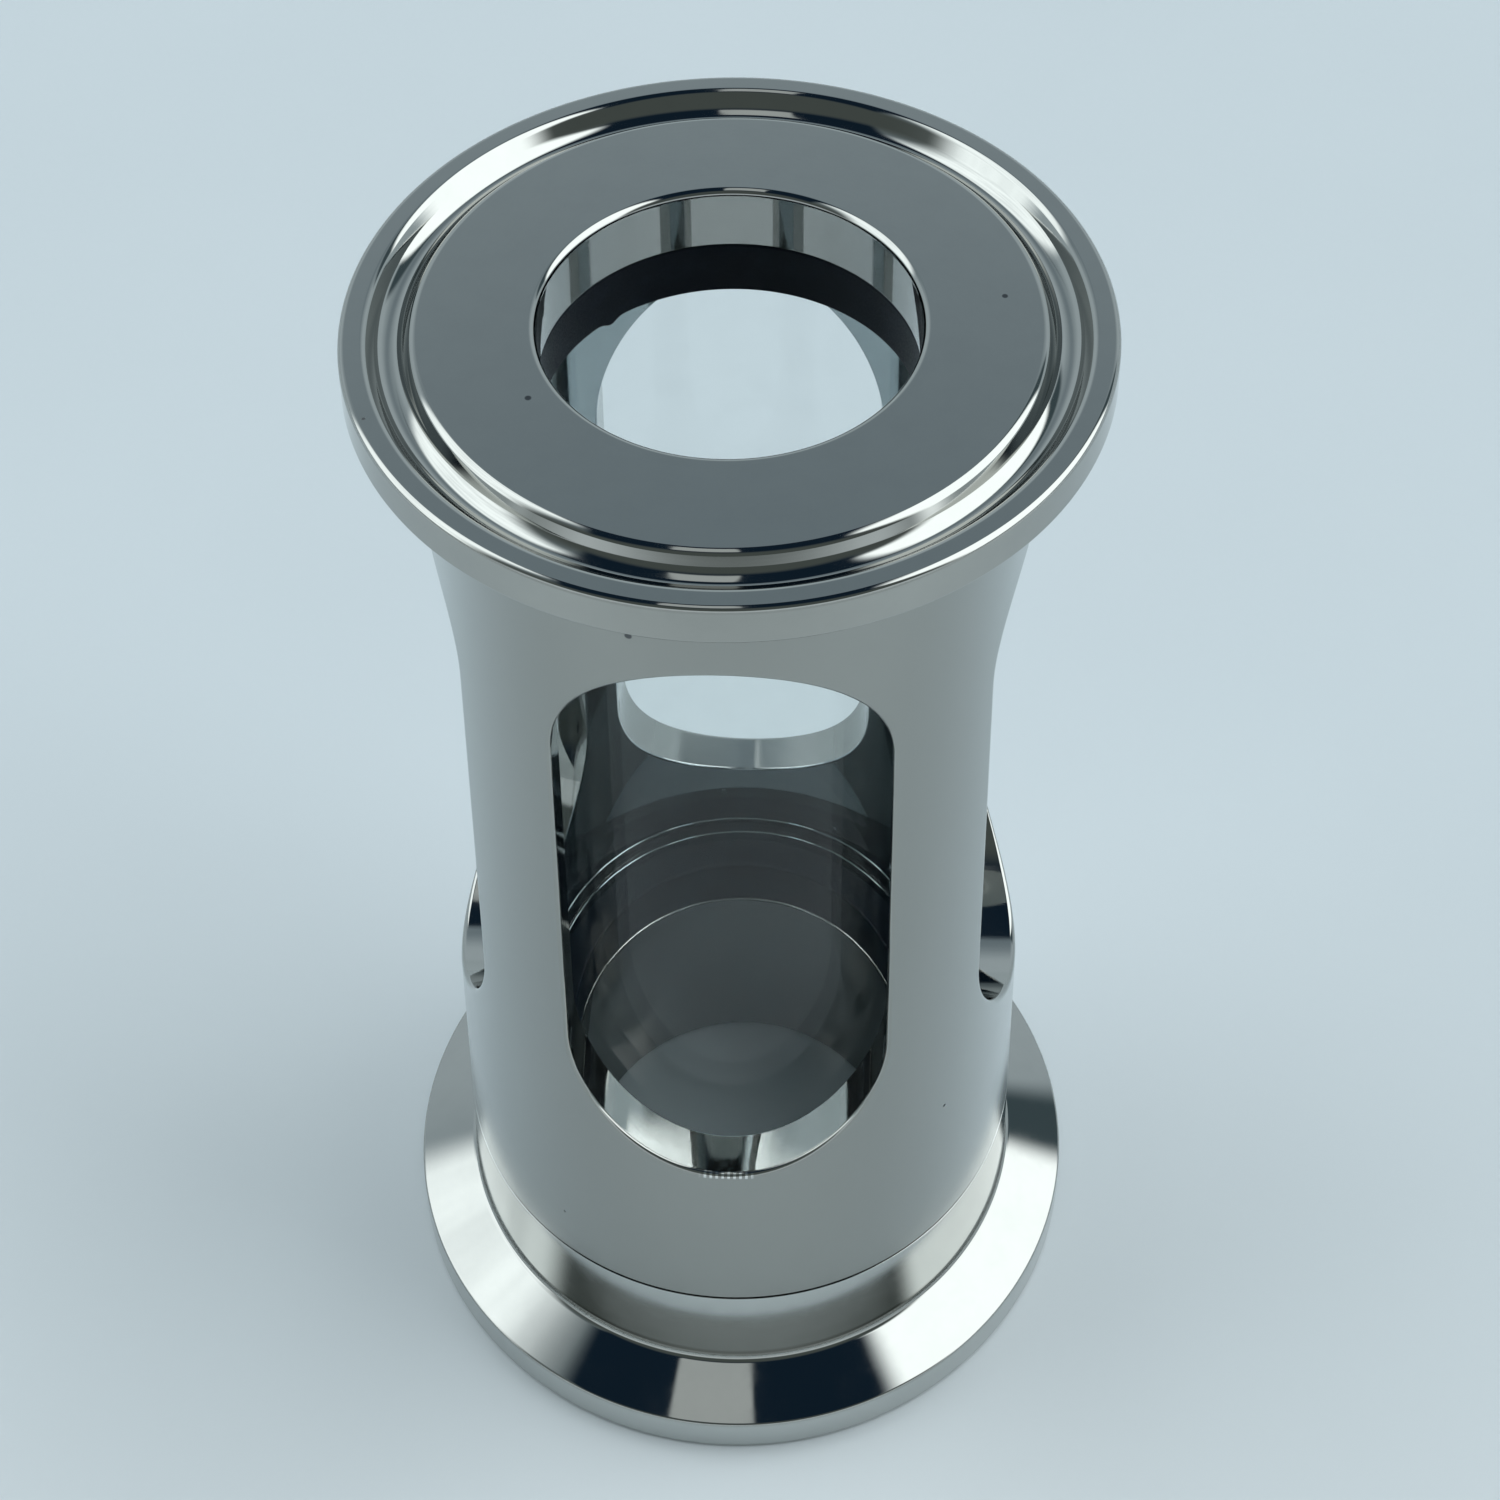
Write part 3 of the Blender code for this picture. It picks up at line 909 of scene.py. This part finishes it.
def camera():
    """The camera close above the part, looking down at it."""
    turn = Matrix.Rotation(math.radians(VIEW_TURN), 3, "Z")
    right = Vector(CAMERA_RIGHT)
    up = Vector(CAMERA_UP)
    place = turn @ Vector(CAMERA_PLACE) * MM
    data = bpy.data.cameras.new("camera")
    data.sensor_fit = "HORIZONTAL"
    data.sensor_width = SENSOR_WIDTH
    data.lens = LENS
    data.shift_x, data.shift_y = LENS_SHIFT
    data.clip_start = 0.01
    data.clip_end = 20.0
    made = bpy.data.objects.new("camera", data)
    axes = turn @ Matrix((right, up, right.cross(up))).transposed()
    made.matrix_world = Matrix.Translation(place) @ axes.to_4x4()
    bpy.context.scene.collection.objects.link(made)
    bpy.context.scene.camera = made
    home = bpy.data.objects.new("camera_home", None)
    home.location = place
    bpy.context.scene.collection.objects.link(home)
    for name in ("shift_x", "shift_y"):
        shift_only_at_home(data, name, made, home)


def shift_only_at_home(data, name, made, home):
    """Drives a lens shift so that it fades out once the camera has left its own place."""
    value = getattr(data, name)
    curve = data.driver_add(name)
    for modifier in list(curve.modifiers):
        curve.modifiers.remove(modifier)
    curve.driver.type = "SUM"
    gap = curve.driver.variables.new()
    gap.type = "LOC_DIFF"
    gap.targets[0].id = made
    gap.targets[1].id = home
    # Keyframes less than 0.01 apart would merge.
    faded = 20 * MM
    curve.keyframe_points.insert(0.0, value)
    curve.keyframe_points.insert(faded, 0.0)
    for point in curve.keyframe_points:
        point.interpolation = "LINEAR"
    curve.extrapolation = "CONSTANT"


def floor(standing):
    """The board that the part stands on, always level with the foot of the lowest piece."""
    half, count = 2.0, 9
    below = 0.04 * MM
    spots = np.linspace(-half, half, count)
    points = [(x, y, -below) for y in spots for x in spots]
    corners = [row * count + column for row in range(count - 1) for column in range(count - 1)]
    faces = [(at, at + 1, at + count + 1, at + count) for at in corners]
    mesh = bpy.data.meshes.new("board")
    mesh.from_pydata(points, [], faces)
    mesh.materials.append(floor_material())
    made = bpy.data.objects.new("board", mesh)
    bpy.context.scene.collection.objects.link(made)
    under = made.constraints.new("COPY_LOCATION")
    under.target = standing
    under.use_x = under.use_y = False


def add_lump(shell):
    """A small lump of rubber that hangs from the gasket's lower inner edge, as in the photo."""
    for ring in shell.points:
        away = np.degrees(np.arctan2(ring[:, 1], ring[:, 0])) - LUMP_DEGREES
        inside = (np.hypot(ring[:, 0], ring[:, 1]) < LUMP_RADIUS) & (ring[:, 2] < upper_low.z + 0.5)
        ring[:, 2] -= LUMP_HEIGHT * inside * np.exp(-((away / LUMP_SPREAD) ** 2))


def gasket_mesh(low, high):
    """A flat gasket, swollen a little to meet the faces that squeeze it."""
    return ring_mesh(
        GASKET_BORE_RADIUS,
        GASKET_RADIUS,
        low - GASKET_SWELL,
        high + GASKET_SWELL,
        GASKET_EDGE,
        GASKET_EDGE,
    )


def tube_mesh():
    """The glass tube, rounder at its outer edges."""
    return ring_mesh(
        GLASS_RADIUS - GLASS_WALL,
        GLASS_RADIUS,
        glass_low.z,
        glass_high.z,
        GLASS_OUTER_EDGE,
        GLASS_INNER_EDGE,
    )


def add_piece(shell, name, materials, body, node):
    """Builds a piece, rides it on its body, and puts it in the place of its CAD node."""
    made = shell.build(name, materials)
    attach(made, body)
    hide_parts(node)
    return made


polished = steel_material("polished_steel", milled=False)
milled = steel_material("milled_steel", milled=True)
rubber = rubber_material()
glass = glass_material()
upper_seal = gasket_mesh(upper_low.z, upper_high.z)
add_lump(upper_seal)
lower_seal = gasket_mesh(lower_low.z, lower_high.z)

add_piece(guard_mesh(), "guard_shell", [polished, milled], "guard", "guard_body")
ferrule = add_piece(
    ferrule_mesh(), "ferrule_turning", [polished, milled], "ferrule", "lower_ferrule"
)
add_piece(tube_mesh(), "sight_tube", [glass], "glass_stack", "glass_tube")
add_piece(upper_seal, "upper_seal", [rubber], "guard", "upper_gasket")
add_piece(lower_seal, "lower_seal", [rubber], "glass_stack", "lower_gasket")

studio()
floor(ferrule)
camera()
bpy.context.scene.view_settings.view_transform = "Standard"
